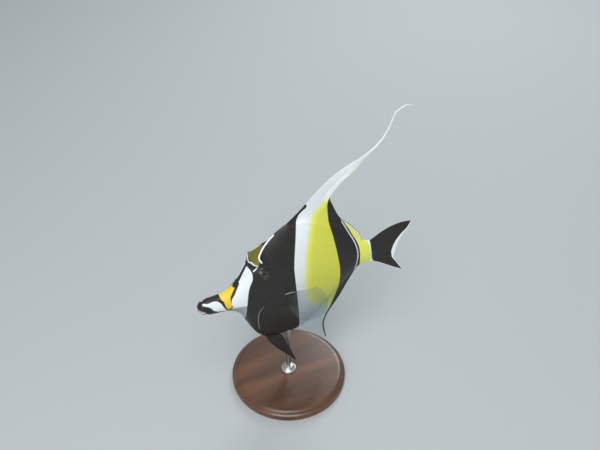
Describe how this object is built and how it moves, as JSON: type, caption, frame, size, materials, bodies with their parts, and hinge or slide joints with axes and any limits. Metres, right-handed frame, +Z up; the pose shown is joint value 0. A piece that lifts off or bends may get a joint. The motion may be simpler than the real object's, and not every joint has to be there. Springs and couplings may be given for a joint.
{
  "type": "moorish idol fish model on a stand",
  "caption": "Life-size model of a moorish idol reef fish, level with its tail swung to its left, held by one rod on a round base.",
  "frame": {"origin": "centre of the round base's underside, on the floor", "axes": "+Z up, -X the way the fish's head points, +Y the fish's right side; its left side faces -Y"},
  "size_m": [0.1798, 0.1, 0.2594],
  "materials": {
    "pale_skin": "satin",
    "black_skin": "satin",
    "yellow_skin": "satin",
    "eye": "wet gloss",
    "stained_wood": "dark stain, satin varnish",
    "brushed_steel": "fine brushed"
  },
  "bodies": {
    "root": {"snout": "pale_skin", "lower_jaw": "black_skin", "head": "black_skin", "trunk": "yellow_skin", "tail_root": "yellow_skin", "eye_left": "eye", "eye_right": "eye", "dorsal_fin_front": "yellow_skin", "dorsal_fin_rear": "yellow_skin", "dorsal_streamer": "pale_skin", "anal_fin": "yellow_skin", "tail_fin": "black_skin", "breast_fin_left": "pale_skin", "breast_fin_right": "pale_skin", "belly_fin_left": "black_skin", "belly_fin_right": "black_skin", "stand_base": "stained_wood", "stand_collar": "brushed_steel", "stand_rod": "brushed_steel"}
  },
  "joints": []
}
